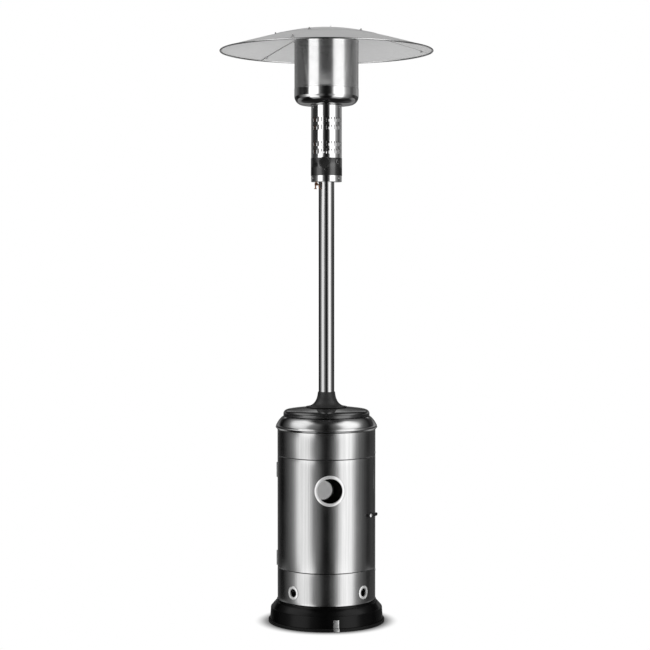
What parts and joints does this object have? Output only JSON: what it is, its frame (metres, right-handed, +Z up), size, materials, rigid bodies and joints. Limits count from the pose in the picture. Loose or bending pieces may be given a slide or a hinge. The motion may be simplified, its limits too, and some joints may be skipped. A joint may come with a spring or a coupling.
{
  "type": "patio heater",
  "caption": "Free-standing gas patio heater: round weighted base, steel cylinder housing with a hinged door, slim post, burner column with knob and igniter, and a domed reflector.",
  "frame": {"origin": "centre of the footprint, on the floor", "axes": "+Z up, the door and control knob face -Y, +X to the right seen from the door side"},
  "size_m": [0.8125, 0.8124, 2.2708],
  "materials": {
    "brushed_steel": "brushed vertically, satin",
    "polished_steel": "bright polished stainless",
    "aluminium": "satin spun sheet",
    "zinc_plate": "dull zinc plate",
    "black_enamel": "smooth black powder coat, semi-gloss",
    "black_plastic": "moulded, fine grain",
    "black_rubber": "matt",
    "cast_iron": "rough cast, painted",
    "brass": "machined",
    "copper": "drawn copper tube",
    "white_ceramic": "glazed"
  },
  "bodies": {
    "heater": {"lower_ring": "brushed_steel", "back_panel": "brushed_steel", "upper_ring": "brushed_steel", "shoulder_ring": "brushed_steel", "emitter_screen": "brushed_steel", "base_badge": "brushed_steel", "reflector_centre": "aluminium", "reflector_petal_1": "aluminium", "reflector_petal_2": "aluminium", "reflector_petal_3": "aluminium", "lower_vent_rim_1": "polished_steel", "lower_vent_rim_2": "polished_steel", "lower_vent_rim_3": "polished_steel", "lower_vent_rim_4": "polished_steel", "rear_vent_rim": "polished_steel", "post": "polished_steel", "burner_column": "polished_steel", "column_bottom": "polished_steel", "emitter_bowl": "polished_steel", "support_plate": "zinc_plate", "support_leg_1": "zinc_plate", "support_leg_2": "zinc_plate", "support_leg_3": "zinc_plate", "post_socket": "zinc_plate", "upper_hinge_frame_leaf": "zinc_plate", "upper_hinge_pin": "zinc_plate", "lower_hinge_frame_leaf": "zinc_plate", "lower_hinge_pin": "zinc_plate", "latch_strike": "zinc_plate", "regulator": "zinc_plate", "mixer_tube": "zinc_plate", "burner_head": "zinc_plate", "emitter_lid": "zinc_plate", "base_shell": "black_enamel", "cap_top": "black_enamel", "post_flare": "black_enamel", "control_panel": "black_enamel", "tilt_switch": "black_plastic", "foot_ring": "black_rubber", "gas_hose": "black_rubber", "ballast_plate": "cast_iron", "gas_valve": "brass", "gas_injector": "brass", "test_union": "brass", "pilot_tube": "copper", "thermocouple": "copper", "test_union_tube": "copper", "piezo_igniter": "white_ceramic", "spark_electrode": "white_ceramic"},
    "door": {"door": "brushed_steel", "door_vent_rim": "polished_steel", "upper_hinge_door_leaf": "zinc_plate", "lower_hinge_door_leaf": "zinc_plate"},
    "latch": {"latch_lever": "black_plastic", "latch_spindle": "polished_steel"},
    "push_collar": {"push_collar": "zinc_plate"},
    "knob": {"control_knob": "black_plastic", "valve_stem": "zinc_plate"},
    "igniter_button": {"igniter_button": "black_plastic"},
    "regulator_nut": {"regulator_nut": "black_plastic"}
  },
  "joints": [
    {"name": "door_swing", "type": "hinge", "parent": "heater", "child": "door", "pos_m": [-0.189, 0.0016, 0.425], "axis": [0, 0, -1], "range_deg": [0, 115]},
    {"name": "latch_turn", "type": "hinge", "parent": "door", "child": "latch", "pos_m": [0.15995, -0.09879, 0.421], "axis": [-0.8508, 0.5255, 0], "range_deg": [0, 90]},
    {"name": "knob_push", "type": "slide", "parent": "heater", "child": "push_collar", "axis": [0, 1, 0], "range_m": [0, 0.005], "stiffness_N_per_m": 600},
    {"name": "knob_turn", "type": "hinge", "parent": "push_collar", "child": "knob", "pos_m": [-0.0071, -0.075, 1.757], "axis": [0, -1, 0], "range_deg": [0, 180]},
    {"name": "igniter_press", "type": "slide", "parent": "heater", "child": "igniter_button", "axis": [-0.6947, 0.7193, 0], "range_m": [0, 0.005], "stiffness_N_per_m": 400},
    {"name": "regulator_nut_spin", "type": "hinge", "parent": "heater", "child": "regulator_nut", "pos_m": [0, 0, 0.676], "axis": [0, 0, 1], "continuous": true}
  ]
}
